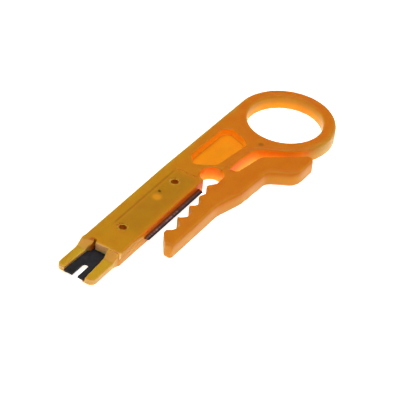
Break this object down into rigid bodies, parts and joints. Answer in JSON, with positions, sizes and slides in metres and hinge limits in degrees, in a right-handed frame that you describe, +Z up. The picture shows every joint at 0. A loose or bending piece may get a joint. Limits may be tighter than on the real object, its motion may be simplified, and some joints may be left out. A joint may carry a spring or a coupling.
{
  "type": "punch down tool",
  "caption": "Flat pocket punch down tool and cable stripper in translucent orange plastic, with a finger ring, a sprung notched jaw beside a blade, and a forked steel tip.",
  "frame": {"origin": "centre of the finger ring's hole on the flat underside of the tool", "axes": "+X along the tool towards the punch tip, +Y towards the stripping arm, +Z up out of the face that carries the blade cover"},
  "size_m": [0.0943, 0.0279, 0.004],
  "materials": {
    "orange_plastic": "translucent orange moulding with a soft satin gloss",
    "cover_plastic": "the same translucent plastic, duller where the blades lie under it",
    "ground_steel": "hardened blade strip with cross grinding marks and a dark ground edge",
    "black_steel": "blackened spring steel sheet"
  },
  "bodies": {
    "handle": {"handle_body": "orange_plastic", "living_hinge": "orange_plastic", "blade_cover": "cover_plastic", "front_cover_pin": "cover_plastic", "rear_cover_pin": "cover_plastic", "stripping_blade": "ground_steel", "punch_blade": "black_steel"},
    "arm": {"stripping_arm": "orange_plastic"}
  },
  "joints": [
    {"name": "arm_flex", "type": "hinge", "parent": "handle", "child": "arm", "pos_m": [0.0276, -0.0007, 0.002], "axis": [0, 0, 1], "range_deg": [-2.5, 5], "stiffness_Nm_per_rad": 0.4, "deforming": ["living_hinge"]}
  ]
}
